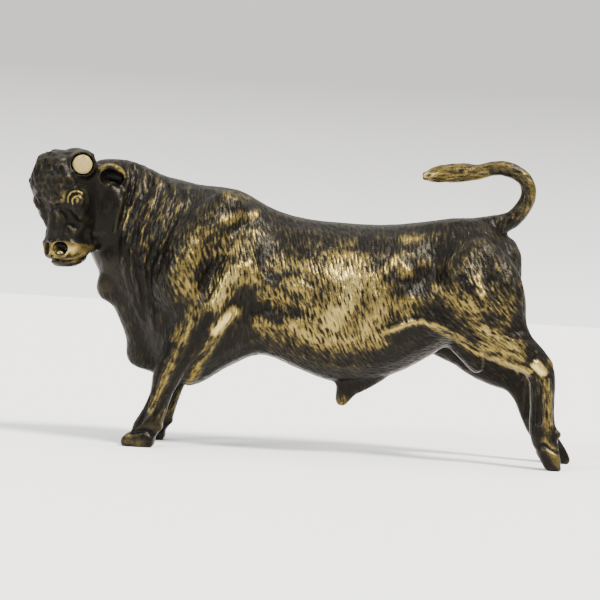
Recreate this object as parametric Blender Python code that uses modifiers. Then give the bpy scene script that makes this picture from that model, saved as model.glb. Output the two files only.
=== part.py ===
# Standing bull in cast bronze: head turned to its left, tail curled forward over the rump, horns lost.
# Metres, +Z up, the bull faces -X, its left side is -Y. Origin on the ground under the middle of the piece.
import math

import bmesh
import bpy
import numpy as np
from mathutils import Matrix, Vector

# Sizes, in metres
LENGTH = 0.140            # muzzle side of the head to the rearmost hoof
STUB_RADIUS = 0.00230     # what is left of a horn: a peg
STUB_DEEP = 0.0020        # how far the peg reaches into the head
STUB_GAP = 0.0003         # free space round the peg in its socket
STUB_WALL = 0.00150       # bronze round the peg
STUB_EDGE = 0.0003        # worn edge of the peg

# The figure is drawn in millimetres of a bull 140 long, and is scaled by LENGTH as a whole.
MM = LENGTH / 140.0
HOME = (0.50, 0.00)       # shift that centres the finished piece over its origin
FACE_TURN = 60.0          # degrees the face is turned out of the walking direction, to the left
FACE_X, FACE_Y = -62.0, -13.6
# Stubs: side, back, sideways, up, then how far the axis points forward of sideways and up, in degrees
STUBS = {"left": (1, 0.5, 6.3, 67.4, 37, 0), "right": (-1, -0.1, 6.9, 65.6, 25, 20)}

RING = 20                 # points round a section
STEP = 1.2                # spacing of sections along a limb, in the drawing
VOXEL = 0.50              # grid that melts the limbs into one skin, in the drawing
TRIANGLES = 9100          # of the finished casting
PEG_SIDES = 28


def new_collection(name):
    collection = bpy.data.collections.new(name)
    bpy.context.scene.collection.children.link(collection)
    return collection


def material(name, rgb, roughness, metallic):
    made = bpy.data.materials.new(name)
    made.use_nodes = True
    shader = made.node_tree.nodes["Principled BSDF"]
    shader.inputs["Base Color"].default_value = (*rgb, 1.0)
    shader.inputs["Roughness"].default_value = roughness
    shader.inputs["Metallic"].default_value = metallic
    made.diffuse_color = (*rgb, 1.0)
    return made


for old in list(bpy.data.objects):
    bpy.data.objects.remove(old, do_unlink=True)

BULL = new_collection("bull_sculpture")
CUTTERS = new_collection("cutters")
BRONZE = material("dark_bronze", (0.115, 0.095, 0.055), 0.45, 0.85)
HORN = material("pale_stub", (0.72, 0.66, 0.50), 0.60, 0.0)


# The face looks along AHEAD; LEFT is the animal's own left side of the head.
TURN = math.radians(FACE_TURN)
AHEAD = Vector((-math.cos(TURN), -math.sin(TURN), 0.0))
LEFT = Vector((math.sin(TURN), -math.cos(TURN), 0.0))


def head_point(back, left, up):
    """A point given from the middle of the face: how far back, how far to the left, and its height."""
    return Vector((FACE_X, FACE_Y, up)) - AHEAD * back + LEFT * left


def stub_axis(side, lean, lift):
    """The way out of the head along a horn's axis."""
    lean, lift = math.radians(lean), math.radians(lift)
    return (LEFT * side * math.cos(lean) + AHEAD * math.sin(lean)) * math.cos(lift) + Vector((0, 0, math.sin(lift)))


def smooth_path(stations, step):
    """Stations of any width, resampled along a Catmull-Rom path about one step apart."""
    rows = np.array(stations, dtype=float)
    rows = np.vstack([2 * rows[0] - rows[1], rows, 2 * rows[-1] - rows[-2]])
    made = []
    for k in range(1, len(rows) - 2):
        a, b, c, d = rows[k - 1:k + 3]
        count = max(1, round(np.linalg.norm((c - b)[:3]) / step))
        for t in np.arange(count) / count:
            made.append(0.5 * (2 * b + (c - a) * t + (2 * a - 5 * b + 4 * c - d) * t ** 2
                               + (3 * b - a - 3 * c + d) * t ** 3))
    made.append(rows[-2])
    return np.array(made)


def add_limb(form, stations, side=(0.0, 1.0, 0.0), egg=0.0, box=1.0, upright=False):
    """Close a loft of ovals round a path. A station is x, y, z, half-width along side, half-depth across it.

    egg narrows the top of the ovals, box under 1 squares them, upright keeps them in vertical planes."""
    rows = smooth_path(stations, STEP)
    points = [Vector(row[:3]) for row in rows]
    side = Vector(side)
    rings = []
    last = len(rows) - 1
    for k, row in enumerate(rows):
        along = (points[min(k + 1, last)] - points[max(k - 1, 0)]).normalized()
        if upright:
            along = Vector((math.copysign(1, along.x), 0, 0))
        across = (side - along * side.dot(along)).normalized()
        deep = along.cross(across)
        if deep.dot(rings[-1][3] if rings else Vector((0.1, 0, 1))) < 0:
            deep = -deep
        rings.append((points[k], along, across, deep, max(row[3], 0.2), max(row[4], 0.2)))
    caps = []
    for ring, sign in ((rings[0], -1), (rings[-1], 1)):
        place, along, across, deep, wide, high = ring
        reach = min(wide, high) * 0.75
        caps.append([(place + along * sign * reach * math.sin(t), along, across, deep,
                      wide * math.cos(t), high * math.cos(t)) for t in (0.55, 1.05)])
    rings = caps[0][::-1] + rings + caps[1]
    loops = []
    for place, along, across, deep, wide, high in rings:
        loop = []
        for k in range(RING):
            c, s = math.cos(2 * math.pi * k / RING), math.sin(2 * math.pi * k / RING)
            c, s = math.copysign(abs(c) ** box, c), math.copysign(abs(s) ** box, s)
            spot = place + across * wide * (1 - egg * s) * c + deep * high * s
            loop.append(form.verts.new(spot * MM))
        loops.append(loop)
    faces = []
    for a, b in zip(loops, loops[1:]):
        for k in range(RING):
            faces.append(form.faces.new((a[k], a[(k + 1) % RING], b[(k + 1) % RING], b[k])))
    faces.append(form.faces.new(loops[0]))
    faces.append(form.faces.new(loops[-1]))
    bmesh.ops.recalc_face_normals(form, faces=faces)


def add_ball(form, centre, radius):
    made = bmesh.ops.create_icosphere(form, subdivisions=2, radius=radius * MM)
    bmesh.ops.translate(form, verts=made["verts"], vec=Vector(centre) * MM)


def mirrored(stations, shift=0.0):
    return [(row[0] + shift, -row[1], *row[2:]) for row in stations]


def head_rows(rows, sign=1):
    """Stations given as back, left, up, half-width, half-depth; sign -1 puts them on the right."""
    return [(*head_point(row[0], row[1] * sign, row[2]), *row[3:]) for row in rows]


def melt(form, name, voxel, factor, rounds):
    """Make one skin of all the lofts in the form, then smooth it."""
    mesh = bpy.data.meshes.new(name)
    form.to_mesh(mesh)
    form.free()
    made = bpy.data.objects.new(name, mesh)
    BULL.objects.link(made)
    skin = made.modifiers.new("skin", "REMESH")
    skin.mode = "VOXEL"
    skin.voxel_size = voxel * MM
    soft = made.modifiers.new("soft", "SMOOTH")
    soft.factor = factor
    soft.iterations = rounds
    return settle(made)


def settle(made):
    """Replace the object's mesh by the one its modifiers give."""
    deps = bpy.context.evaluated_depsgraph_get()
    mesh = bpy.data.meshes.new_from_object(made.evaluated_get(deps))
    made.modifiers.clear()
    old = made.data
    made.data = mesh
    bpy.data.meshes.remove(old)
    return made


def read_points(mesh):
    points = np.empty(len(mesh.vertices) * 3, dtype=np.float32)
    mesh.vertices.foreach_get("co", points)
    normals = np.empty(len(mesh.vertices) * 3, dtype=np.float32)
    mesh.vertices.foreach_get("normal", normals)
    return points.reshape(-1, 3).astype(float) / MM, normals.reshape(-1, 3).astype(float)


def write_points(mesh, points):
    mesh.vertices.foreach_set("co", (points * MM).astype(np.float32).ravel())
    mesh.update()


def line_distance(points, line):
    """Distance of every point to a polyline, in as many dimensions as the line has."""
    best = np.full(len(points), 1e9)
    for a, b in zip(line, line[1:]):
        run = b - a
        t = np.clip((points - a) @ run / max(run @ run, 1e-9), 0, 1)
        best = np.minimum(best, np.linalg.norm(points - a - t[:, None] * run, axis=1))
    return best


def bell(distance, width):
    """1 on the line, 0 from the given width on, smooth between."""
    t = np.clip(distance / width, 0, 1)
    return (1 - t * t) ** 2


def side_strokes(mesh, strokes, sides=(-1, 1)):
    """Raise or carve the flanks along lines drawn in side view: width, height, then x, z pairs."""
    points, normals = read_points(mesh)
    moved = points.copy()
    for width, height, *line in strokes:
        weight = bell(line_distance(points[:, (0, 2)], np.array(line, dtype=float)), width)
        for side in sides:
            facing = np.clip(normals[:, 1] * side * 1.6, 0, 1)
            moved += normals * (weight * facing * height)[:, None]
    write_points(mesh, moved)


def space_strokes(mesh, strokes):
    """Raise or carve along lines in space: width, height, then x, y, z points."""
    points, normals = read_points(mesh)
    moved = points.copy()
    for width, height, *line in strokes:
        weight = bell(line_distance(points, np.array(line, dtype=float)), width)
        moved += normals * (weight * height)[:, None]
    write_points(mesh, moved)


# Trunk, neck and dewlap
TRUNK = [(-41, 0, 42, 9, 18), (-36, 0, 41.5, 13, 23.5), (-28, 0, 40, 14.5, 25.2), (-19, 0, 42.3, 14.8, 22.2),
         (-11, 0, 42.1, 14.8, 18.6), (-2, 0, 39.5, 15.8, 18.9), (7, 0, 37.9, 16.2, 20), (16, 0, 38.4, 15.8, 19.5),
         (23, 0, 39.8, 14.3, 18.8), (29, 0, 42, 12.8, 17.6), (36, 0, 45, 12.2, 15.8), (43, 0, 47, 10.5, 13.6),
         (47.5, 0, 47.5, 7.5, 10)]
NECK = [(-31, 0, 46, 13.5, 20.5), (-38.5, 0, 50.6, 11.7, 17.9), (-44.5, 0, 55.4, 9.4, 14.8),
        (-49.5, -0.8, 60, 7.2, 11.2), (-54.5, -3, 62.3, 6.2, 8.6)]
CHEEK = [(-50.4, -7.6, 62.6, 2.6, 3.0), (-50.4, -8.0, 57.5, 3.2, 3.4), (-50.4, -6.8, 51.5, 3.0, 3.2)]
DEWLAP = [(-49.5, -3, 54, 4.5, 4.5), (-48.2, -2.5, 46, 4.5, 4.8), (-47.4, -2.2, 42.6, 4.5, 5.2),
          (-46.6, -2, 39.4, 4.5, 7.0), (-44.8, -1.7, 36.6, 4.8, 5.0), (-42.8, -1.5, 33, 5, 5.0),
          (-40.6, -1, 27.4, 5, 4.8), (-38.8, -0.5, 23.6, 5, 6.6), (-36, 0, 20.8, 5, 3.9), (-32.5, 0, 18.8, 5, 4)]

# Legs: the fore pair is drawn on the left, the hind ones differ
SCAPULA = [(-20.5, -8.5, 60.5, 3.6, 4.6), (-25.5, -10.3, 53, 5.2, 7), (-29.5, -11.6, 44, 6.2, 8.8),
           (-31.2, -12.2, 37, 6, 8)]
UPPER_ARM = [(-15.5, -11, 49.5, 3.6, 5.5), (-19, -12.4, 42, 4.6, 7), (-21.5, -12.6, 36.5, 4.4, 5)]
ELBOW = [(-19.2, -12.8, 35, 3.3, 2.5), (-23.6, -12.8, 30.6, 3.3, 2.9), (-27, -12.5, 26.3, 3, 2.6)]
FORELEG = [(-25.5, -12, 36, 6.2, 8), (-27.6, -12, 29.4, 5.2, 6), (-31.4, -12, 22.4, 4.1, 4.1),
           (-33.6, -12, 17.4, 3.8, 3.6), (-34.7, -12, 13.2, 3, 2.8), (-35.8, -12, 9.4, 3, 2.9),
           (-37.2, -12, 5.8, 3.5, 3.3), (-38.6, -12, 3.6, 3.4, 3.2)]
THIGH = [(35.5, -8.5, 47, 6.5, 12), (41, -10, 41.4, 6.8, 11.8), (44.8, -11, 36.3, 6.2, 9.6),
         (47.8, -11.6, 32.2, 5.2, 6.9), (51.2, -12, 29, 4.2, 5), (55.3, -12, 26.2, 3.4, 3.9),
         (57.4, -12, 23.2, 3, 3.5), (57.9, -12, 19, 2.8, 3.2), (58.1, -12, 14, 2.8, 3.1),
         (58.4, -12, 10, 3.3, 3.4), (59.4, -12, 6.4, 3.2, 3.3)]
FAR_THIGH = [(35.5, 8.5, 45, 6.5, 12.5), (41.5, 10, 36, 6.6, 12.6), (46.5, 10.8, 28.8, 5.4, 9.4),
             (50.6, 11, 24.6, 4.3, 6.9), (54.2, 11, 21.3, 3.5, 4.8), (56.6, 11, 17.6, 3, 3.6),
             (58.5, 11, 12.8, 2.8, 3.2), (60.7, 11, 8.8, 3.2, 3.3), (63.2, 11, 6.2, 3.2, 3)]

# One claw of each hoof: x, z, half-width, half-depth; the pair stands either side of the leg
FORE_CLAW = [(-36.6, 1.4, 1.6, 2.1), (-38.8, 1.7, 1.85, 2.7), (-41.3, 1.2, 1.8, 2.3), (-42.8, 0.8, 1.4, 1.9)]
HIND_CLAW = [(59.6, 5.4, 1.7, 2.9), (60.8, 2.6, 1.8, 2.3), (61.7, 0.1, 1.6, 1.8)]
FAR_CLAW = [(63.4, 5.4, 1.7, 2.6), (65.6, 2.9, 1.8, 2.3), (67.5, 0.5, 1.6, 1.8)]
CLAW_SPREAD = 1.85        # from the middle of the hoof to the middle of a claw
DEWCLAWS = [(-34.7, -12, 5.0), (-33.9, 12, 5.0), (62.0, -12, 8.9), (64.4, 11, 8.6)]
DEWCLAW_SPREAD, DEWCLAW_RADIUS = 1.5, 1.15

FLANK = [(20, -8.5, 39.5, 5.5, 6.5), (27, -9.2, 39, 5.2, 5.6), (33, -10, 38.5, 5, 5.6), (39, -10.8, 37, 4.8, 6)]
FAR_FLANK = [(20, 8.5, 38, 5.5, 7), (28, 9.2, 35.5, 5.2, 6.8), (35, 10, 33, 5, 7.5), (41, 10.6, 30.5, 4.6, 7.5)]

# Under the belly and behind
SHEATH = [(17, 0, 23, 4.2, 5), (12.2, 0, 18.6, 3, 4), (10.4, 0, 15.8, 2.3, 2.7), (9.4, 0, 12.8, 1.6, 1.7)]
SCROTUM = [(37.5, 0, 31.5, 4, 4), (41, 0, 27, 4, 3), (43.2, 0, 23.6, 3.2, 2)]
TAIL = [(40.5, 0, 58.2, 3.8, 2.8), (45.5, 0, 59.4, 2.8, 2.6), (49.4, 0, 60.9, 2.3, 2.3),
        (52.2, 0, 64.4, 2.1, 2.1), (53.3, 0, 67.9, 2.0, 2.0), (51.9, 0, 71.4, 1.9, 1.9),
        (47.7, 0, 73.5, 2.0, 2.0), (43.7, 0, 73.4, 1.9, 1.9), (39.9, 0, 72.2, 2.0, 2.0),
        (33.9, 0, 71.7, 2.5, 2.5), (29.4, 0, 71, 1.9, 1.7), (27.6, 0, 70.6, 1.2, 1.1)]

# Head: back, left, up, half-width, half-depth
SKULL = [(6.4, 0, 69.2, 4.0, 3.8), (6, 0, 67.2, 5.8, 6.0), (6.9, 0, 64, 6.3, 6.9), (7.6, 0, 60, 6.4, 7.8),
         (7.3, 0, 56, 6.2, 7.8), (6.1, 0, 52.6, 5.5, 7.2), (4.6, 0, 49.6, 5.0, 6.0), (4.0, 0, 47, 4.9, 5.3),
         (4.1, 0, 45.4, 4.4, 4.7)]
CHIN = [(8, 0, 45.6, 3.4, 2.2), (4.6, 0, 44.2, 3.5, 1.6), (1.5, 0, 43.8, 3.0, 1.2)]
JAW = [(12.5, 4.6, 58.5, 2.2, 2.6), (14.2, 4.6, 54.2, 2.2, 2.4), (12.0, 4.4, 51.3, 2.0, 2.2),
       (8.0, 4.0, 48.0, 1.8, 2.0)]
FORELOCK = [(2.8, -0.8, 68.0, 4.2, 3.4), (1.0, -2.0, 66.0, 6.4, 4.5), (0.5, -2.0, 63.0, 6.9, 4.4),
            (1.0, -1.3, 60.2, 6.2, 3.4), (1.4, -0.6, 58.4, 4.8, 2.6)]
NOSE = [(1.0, 0, 60, 4.2, 2.3), (0.4, 0, 56.5, 3.4, 2.2), (0.2, 0, 52.5, 3.3, 2.0), (0.2, 0, 49, 3.4, 1.7)]
ORBIT = [(1.5, 4.2, 60.4, 2.8, 2.6), (1.3, 4.4, 58.0, 3.2, 3.0), (1.7, 4.3, 55.4, 2.6, 2.6)]
RIGHT_CHEEK = [(1.8, -4.0, 57.4, 2.6, 2.6), (2.2, -4.2, 54.6, 2.2, 2.4), (2.8, -3.6, 52.6, 1.6, 1.8)]
EAR = [(6.2, 5.2, 65.6, 1.8, 2.0), (8.4, 7.1, 65.5, 1.9, 3.1), (10.8, 8.3, 65.2, 1.8, 3.0),
       (13.0, 9.1, 64.3, 1.2, 1.6)]

body = bmesh.new()
add_limb(body, TRUNK, egg=0.10, upright=True)
add_limb(body, NECK, egg=0.12)
add_limb(body, CHEEK)
add_limb(body, DEWLAP)
for limb in (SCAPULA, UPPER_ARM, ELBOW, FORELEG):
    add_limb(body, limb)
    add_limb(body, mirrored(limb, 0.8))
for limb in (THIGH, FAR_THIGH, FLANK, FAR_FLANK, SHEATH, SCROTUM):
    add_limb(body, limb)
add_limb(body, head_rows(SKULL), side=LEFT, box=0.72)
casting = melt(body, "bull_casting", VOXEL, 0.5, 12)

# Broad hollows and swellings of the trunk and thighs
side_strokes(casting.data, [
    (7.5, -1.3, (-8, 56), (-8.5, 47)),
    (6.0, -1.5, (-14.5, 34), (-9, 36.5), (-3, 35)),
    (5.0, -0.9, (-13, 27.5), (-5, 29)),
    (5.0, 0.9, (-14, 44), (-12, 40), (-3, 39.5)),
    (4.5, -1.4, (-24, 49), (-24.6, 42), (-25.5, 37)),
    (5.5, 0.8, (-31.5, 50), (-32.5, 43)),
    (5.0, -1.0, (-37.5, 47), (-38, 36)),
    (6.0, -0.9, (27, 44), (31, 41)),
    (4.5, 1.0, (23, 54)),
    (5.5, -1.0, (31, 51), (30, 47)),
    (4.5, 0.8, (34, 47), (39, 40)),
    (5.0, 0.7, (47, 49), (49, 41)),
])
side_strokes(casting.data, [
    (3.6, 0.8, (21, 33), (27, 34.6), (33, 33.2), (39, 30.5), (47, 26.5), (52.5, 24.6)),
    (4.5, -0.8, (33, 38), (39, 34.5), (45, 30.8)),
    (4.0, -0.7, (41, 50), (45, 42), (49, 34)),
], sides=(-1,))
side_strokes(casting.data, [
    (3.6, 0.8, (21, 31), (28, 28), (34, 24.6), (42, 21), (49, 18.4)),
    (4.0, -0.7, (42, 46), (45, 37), (50, 28)),
], sides=(1,))

# Finer forms join after the first smoothing, so that they stay crisp.
fine = bmesh.new()
fine.from_mesh(casting.data)
add_limb(fine, TAIL)
add_limb(fine, head_rows(FORELOCK), side=LEFT, box=0.85)
add_limb(fine, head_rows(NOSE), side=LEFT)
add_limb(fine, head_rows(CHIN), side=LEFT)
add_limb(fine, head_rows(RIGHT_CHEEK), side=LEFT)
for sign in (1, -1):
    add_limb(fine, head_rows(ORBIT, sign), side=LEFT)
    add_limb(fine, head_rows(JAW, sign), side=LEFT)
    add_limb(fine, head_rows(EAR, sign), side=-AHEAD)
boss = (STUB_RADIUS + STUB_WALL) / MM
for sign, back, out, up, lean, lift in STUBS.values():
    base = [(back + 2.9, out - 3.0, up, boss, boss), (back + 1.4, out - 1.0, up, 0.92 * boss, 0.92 * boss)]
    add_limb(fine, head_rows(base, sign), side=-AHEAD)
for claw, place, shift in ((FORE_CLAW, -12, 0), (FORE_CLAW, 12, 0.8), (HIND_CLAW, -12, 0), (FAR_CLAW, 11, 0)):
    for split in (-CLAW_SPREAD, CLAW_SPREAD):
        add_limb(fine, [(row[0] + shift, place + split, *row[1:]) for row in claw])
for x, y, z in DEWCLAWS:
    for split in (-DEWCLAW_SPREAD, DEWCLAW_SPREAD):
        add_ball(fine, (x, y + split, z), DEWCLAW_RADIUS)
bpy.data.objects.remove(casting, do_unlink=True)
casting = melt(fine, "bull_casting", VOXEL, 0.5, 4)

# Folds of the neck, from the nape forward and down to the throat
side_strokes(casting.data, [
    (1.9, 0.75, (-42, 67), (-44, 60), (-45, 52), (-44.5, 44), (-42, 36)),
    (1.9, 0.75, (-38.5, 65.5), (-40.5, 58), (-41.3, 50), (-40.6, 42)),
    (1.9, 0.65, (-35, 64.5), (-36.8, 57), (-37.4, 50)),
    (1.8, 0.60, (-45.6, 68.5), (-47.8, 61), (-48.2, 53)),
    (2.2, 0.50, (-31.5, 63.5), (-33, 57.5)),
], sides=(-1, 1))


def face_strokes(mesh, strokes):
    """Strokes on both sides of the face: width, height, then back, left, up points."""
    for sign in (1, -1):
        space_strokes(mesh, [(row[0], row[1], *[head_point(p[0], p[1] * sign, p[2]) for p in row[2:]])
                             for row in strokes])


face_strokes(casting.data, [
    (2.2, -0.6, (-0.6, 3.2, 56.2), (0.2, 4.2, 53.8)),
    (1.5, -0.9, (-1.5, 3.2, 58.2), (-1.6, 4.6, 57.6), (-0.6, 6.4, 58.2)),
    (1.4, 0.6, (-1.5, 2.6, 60.4), (-1.8, 4.6, 61.0), (-0.3, 6.6, 60.2)),
    (1.3, 0.9, (-1.8, 4.7, 59.2), (-1.8, 4.9, 59.0)),
    (2.2, 0.6, (5.6, 5.2, 54.2), (3.2, 4.9, 53.0)),
    (2.0, 0.6, (0.0, 3.9, 47.6), (3.4, 5.0, 47.4), (6.6, 5.0, 47.6)),
    (1.9, -1.4, (-1.3, 2.0, 46.9), (-1.3, 2.3, 46.8)),
    (1.2, -0.8, (-1.0, 0.3, 44.1), (0.2, 3.4, 44.3), (3.6, 4.7, 45.0), (7.0, 5.0, 46.0)),
    (2.4, -0.8, (8.6, 6.4, 60.5), (8.0, 6.0, 56.5)),
    (2.3, -1.7, (8.4, 9.0, 65.2), (11.2, 10.1, 64.7)),
])
relax = casting.modifiers.new("relax", "SMOOTH")
relax.factor = 0.5
relax.iterations = 3
settle(casting)

count = sum(len(face.vertices) - 2 for face in casting.data.polygons)
thin = casting.modifiers.new("thin", "DECIMATE")
thin.ratio = TRIANGLES / count
settle(casting)

# The hooves end in flat soles, the sockets take the stubs of the horns.
home = Vector((*HOME, 0))
casting.data.transform(Matrix.Translation(home * MM))
block = 1.4 * LENGTH      # larger than the bull on every side
bpy.ops.mesh.primitive_cube_add(size=block, location=(0, 0, -0.5 * block))
ground = bpy.context.active_object
ground.name = "ground_cut"
cutters = [ground]
drill_long = 3 * STUB_DEEP
for name, (sign, back, out, up, lean, lift) in STUBS.items():
    axis = stub_axis(sign, lean, lift)
    face = (head_point(back, out * sign, up) + home) * MM
    turn = axis.to_track_quat("Z", "Y").to_euler()
    bpy.ops.mesh.primitive_cylinder_add(
        vertices=PEG_SIDES, radius=STUB_RADIUS + STUB_GAP, depth=drill_long, rotation=turn,
        location=face + axis * (0.5 * drill_long - STUB_DEEP - STUB_GAP))
    socket = bpy.context.active_object
    socket.name = "socket_" + name
    cutters.append(socket)
    bpy.ops.mesh.primitive_cylinder_add(
        vertices=PEG_SIDES, radius=STUB_RADIUS, depth=STUB_DEEP, rotation=turn,
        location=face - axis * 0.5 * STUB_DEEP)
    stub = bpy.context.active_object
    stub.name = "horn_stub_" + name
    stub.data.materials.append(HORN)
    worn = stub.modifiers.new("worn", "BEVEL")
    worn.width = STUB_EDGE
    worn.segments = 1
    for held in list(stub.users_collection):
        held.objects.unlink(stub)
    BULL.objects.link(stub)

for cutter in cutters:
    for held in list(cutter.users_collection):
        held.objects.unlink(cutter)
    CUTTERS.objects.link(cutter)
    cutter.hide_render = True
    cutter.display_type = "WIRE"
    cut = casting.modifiers.new(cutter.name, "BOOLEAN")
    cut.operation = "DIFFERENCE"
    cut.solver = "EXACT"
    cut.object = cutter
tidy = casting.modifiers.new("tidy", "WELD")
tidy.merge_threshold = 0.00003
casting.data.materials.clear()
casting.data.materials.append(BRONZE)
casting.data.shade_smooth()
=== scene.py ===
# A small standing bull in cast bronze, its head turned to its left, dressed for a look from every side.
# The frame is in metres; the bull's own sizes are in millimetres of its drawing, facing -X, left side -Y.
import math

import bmesh
import bpy
import numpy as np
from mathutils import Matrix, Vector
from mathutils.bvhtree import BVHTree
from mathutils.kdtree import KDTree


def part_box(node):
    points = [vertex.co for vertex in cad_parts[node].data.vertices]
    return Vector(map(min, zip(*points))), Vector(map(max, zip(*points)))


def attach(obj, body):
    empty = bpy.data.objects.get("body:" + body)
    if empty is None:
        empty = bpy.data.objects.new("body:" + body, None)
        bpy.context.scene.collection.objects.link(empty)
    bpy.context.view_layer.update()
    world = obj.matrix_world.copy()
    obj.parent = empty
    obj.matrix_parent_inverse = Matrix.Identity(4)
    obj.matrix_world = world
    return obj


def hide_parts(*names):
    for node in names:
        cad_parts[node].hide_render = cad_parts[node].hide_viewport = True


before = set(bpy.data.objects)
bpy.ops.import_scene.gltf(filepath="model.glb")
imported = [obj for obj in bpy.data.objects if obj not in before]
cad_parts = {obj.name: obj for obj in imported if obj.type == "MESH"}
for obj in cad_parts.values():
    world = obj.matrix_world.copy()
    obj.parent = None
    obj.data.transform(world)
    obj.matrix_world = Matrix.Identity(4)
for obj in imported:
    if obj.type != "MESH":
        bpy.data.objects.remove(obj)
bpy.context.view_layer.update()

# The casting. The whole animal is one pour of bronze from a wax model: head, ears, legs, hooves and tail
# in one piece. The wax was built up from rolls and pellets, then combed and cut with small tools.
MM = 0.001
HOME = Vector((0.5, 0.0, 0.0))     # from the drawing to the piece
WAX_GRID = 0.26                    # fineness of the skin while it is worked
WAX_FACES = 190000                 # triangles of the finished skin
POLISH_ROUNDS = 26                 # takes the facets off the form and leaves its folds


def fresh_skin(form, name):
    """Melt the form's bodies into one even skin."""
    mesh = bpy.data.meshes.new(name)
    form.to_mesh(mesh)
    form.free()
    made = bpy.data.objects.new(name, mesh)
    bpy.context.scene.collection.objects.link(made)
    melt = made.modifiers.new("melt", "REMESH")
    melt.mode = "VOXEL"
    melt.voxel_size = WAX_GRID * MM
    return settle(made)


def settle(made):
    """Replace the mesh by the one that the modifiers give."""
    deps = bpy.context.evaluated_depsgraph_get()
    mesh = bpy.data.meshes.new_from_object(made.evaluated_get(deps))
    made.modifiers.clear()
    old = made.data
    made.data = mesh
    bpy.data.meshes.remove(old)
    return made


def read_skin(mesh):
    """Points in the drawing's millimetres, and the way out of the skin at each."""
    count = len(mesh.vertices)
    points = np.empty(count * 3, dtype=np.float32)
    mesh.vertices.foreach_get("co", points)
    outward = np.empty(count * 3, dtype=np.float32)
    mesh.vertices.foreach_get("normal", outward)
    return points.reshape(-1, 3).astype(float) / MM - np.array(HOME), outward.reshape(-1, 3).astype(float)


def write_skin(mesh, points):
    mesh.vertices.foreach_set("co", ((points + np.array(HOME)) * MM).astype(np.float32).ravel())
    mesh.update()


def joins(mesh):
    pairs = np.empty(len(mesh.edges) * 2, dtype=np.int32)
    mesh.edges.foreach_get("vertices", pairs)
    return pairs.reshape(-1, 2)


def spread(values, pairs, rounds, pull=0.5):
    """Even out values, or points, between neighbours on the skin."""
    made = values.copy()
    a, b = pairs.T
    count = np.bincount(pairs.ravel(), minlength=len(values))
    for k in range(rounds):
        for axis in range(values.shape[1]):
            column = made[:, axis]
            total = np.bincount(a, column[b], len(values)) + np.bincount(b, column[a], len(values))
            made[:, axis] = column + pull * (total / np.maximum(count, 1) - column)
    return made


def polished(points, pairs, rounds, pull=0.5, push=-0.52):
    """Smooth without shrinking the thin legs: every pull in is followed by a push out."""
    for k in range(rounds):
        points = spread(points, pairs, 1, pull)
        points = spread(points, pairs, 1, push)
    return points


def line_distance(points, line):
    """Distance of every point to a line of two or more points, in as many dimensions as the line has."""
    best = np.full(len(points), 1e9)
    for a, b in zip(line, line[1:]):
        run = b - a
        t = np.clip((points - a) @ run / max(run @ run, 1e-9), 0, 1)
        best = np.minimum(best, np.linalg.norm(points - a - t[:, None] * run, axis=1))
    return best


def bell(distance, width):
    """1 on the line, 0 from the given width on, smooth between."""
    t = np.clip(distance / width, 0, 1)
    return (1 - t * t) ** 2


def smooth_path(knots, step):
    """A curve through the knots, as points about one step apart."""
    rows = np.array(knots, dtype=float)
    rows = np.vstack([2 * rows[0] - rows[1], rows, 2 * rows[-1] - rows[-2]])
    made = []
    for k in range(1, len(rows) - 2):
        a, b, c, d = rows[k - 1:k + 3]
        count = max(1, round(np.linalg.norm((c - b)[:3]) / step))
        for t in np.arange(count) / count:
            made.append(0.5 * (2 * b + (c - a) * t + (2 * a - 5 * b + 4 * c - d) * t ** 2
                               + (3 * b - a - 3 * c + d) * t ** 3))
    made.append(rows[-2])
    return np.array(made)


# The head is drawn in its own frame: back from the face, out to the animal's left, and height.
FACE_TURN = math.radians(60)
FACE = Vector((-62.0, -13.6, 0.0))
AHEAD = Vector((-math.cos(FACE_TURN), -math.sin(FACE_TURN), 0.0))
LEFT = Vector((math.sin(FACE_TURN), -math.cos(FACE_TURN), 0.0))


def head_point(back, left, up):
    return FACE - AHEAD * back + LEFT * left + Vector((0, 0, up))


def roll_on(form, knots):
    """Press a roll of wax on: a row of pellets along a curve, given as x, y, z and radius."""
    row = bmesh.new()
    for x, y, z, radius in smooth_path(knots, 0.6 * min(knot[3] for knot in knots)):
        place = Matrix.Translation((Vector((x, y, z)) + HOME) * MM)
        bmesh.ops.create_icosphere(row, subdivisions=2, radius=max(radius, 0.2) * MM, matrix=place)
    roll = bpy.data.meshes.new("roll")
    row.to_mesh(roll)
    row.free()
    form.from_mesh(roll)
    bpy.data.meshes.remove(roll)


def head_roll(form, knots, sides=(1,)):
    """A roll on the head, given as back, left, up and radius; side -1 puts it on the right."""
    for side in sides:
        roll_on(form, [(*head_point(row[0], row[1] * side, row[2]), row[3]) for row in knots])


solid = bmesh.new()
solid.from_mesh(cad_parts["bull_casting"].data)
bmesh.ops.remove_doubles(solid, verts=solid.verts, dist=0.001 * MM)
bull = fresh_skin(solid, "bull")
points, outward = read_skin(bull.data)
pairs = joins(bull.data)
points = polished(points, pairs, POLISH_ROUNDS)


def calm(centre, width, rounds):
    """Take the edge off one place: the skin is evened out within the width, most in the middle."""
    distance = np.linalg.norm(points - np.array(centre), axis=1)
    near = distance < 1.4 * width
    number = np.cumsum(near) - 1
    held = number[pairs[near[pairs].all(axis=1)]]
    even = spread(points[near], held, rounds)
    points[near] += bell(distance[near], width)[:, None] * (even - points[near])


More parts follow.
